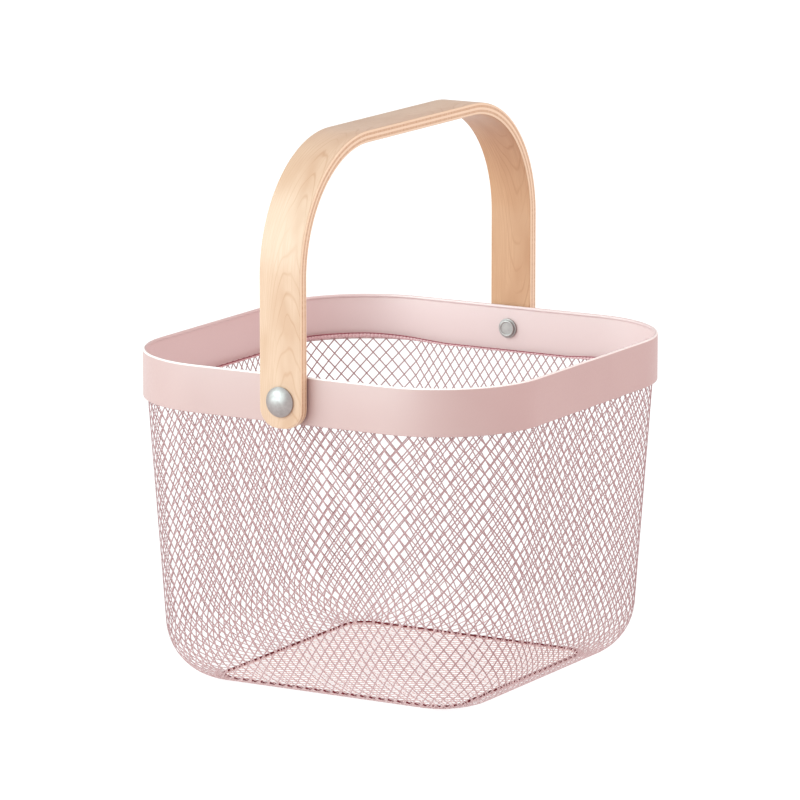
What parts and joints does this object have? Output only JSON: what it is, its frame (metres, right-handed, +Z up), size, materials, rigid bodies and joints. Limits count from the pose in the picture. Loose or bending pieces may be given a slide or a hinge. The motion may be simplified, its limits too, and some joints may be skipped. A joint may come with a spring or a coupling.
{
  "type": "wire basket",
  "caption": "Tapered square carry basket of diamond steel mesh with a plain strip rim with a beaded edge and a bent plywood handle that swings on domed rivets.",
  "frame": {"origin": "on the ground, under the middle of the basket", "axes": "+Z up, +X along the handle's pivot axis towards rivet_right, +Y across the swing"},
  "size_m": [0.2756, 0.2446, 0.318],
  "materials": {
    "coat": "satin powder coat, pale pink",
    "mesh_coat": "satin powder coat, dusty pink",
    "birch": "clear satin lacquer on birch plywood",
    "steel": "brushed",
    "nylon": "natural nylon"
  },
  "bodies": {
    "basket": {"rim_band": "coat", "wall_mesh": "mesh_coat", "floor_mesh": "mesh_coat", "base_ring": "mesh_coat", "hem_wire": "mesh_coat", "rivet_right": "steel", "rivet_left": "steel", "tail_washer_right": "steel", "tail_washer_left": "steel", "spacer_right": "nylon", "spacer_left": "nylon"},
    "handle": {"handle": "birch"}
  },
  "joints": [
    {"name": "handle_swing", "type": "hinge", "parent": "basket", "child": "handle", "pos_m": [0, 0, 0.1765], "axis": [1, 0, 0], "range_deg": [-110, 110]}
  ]
}
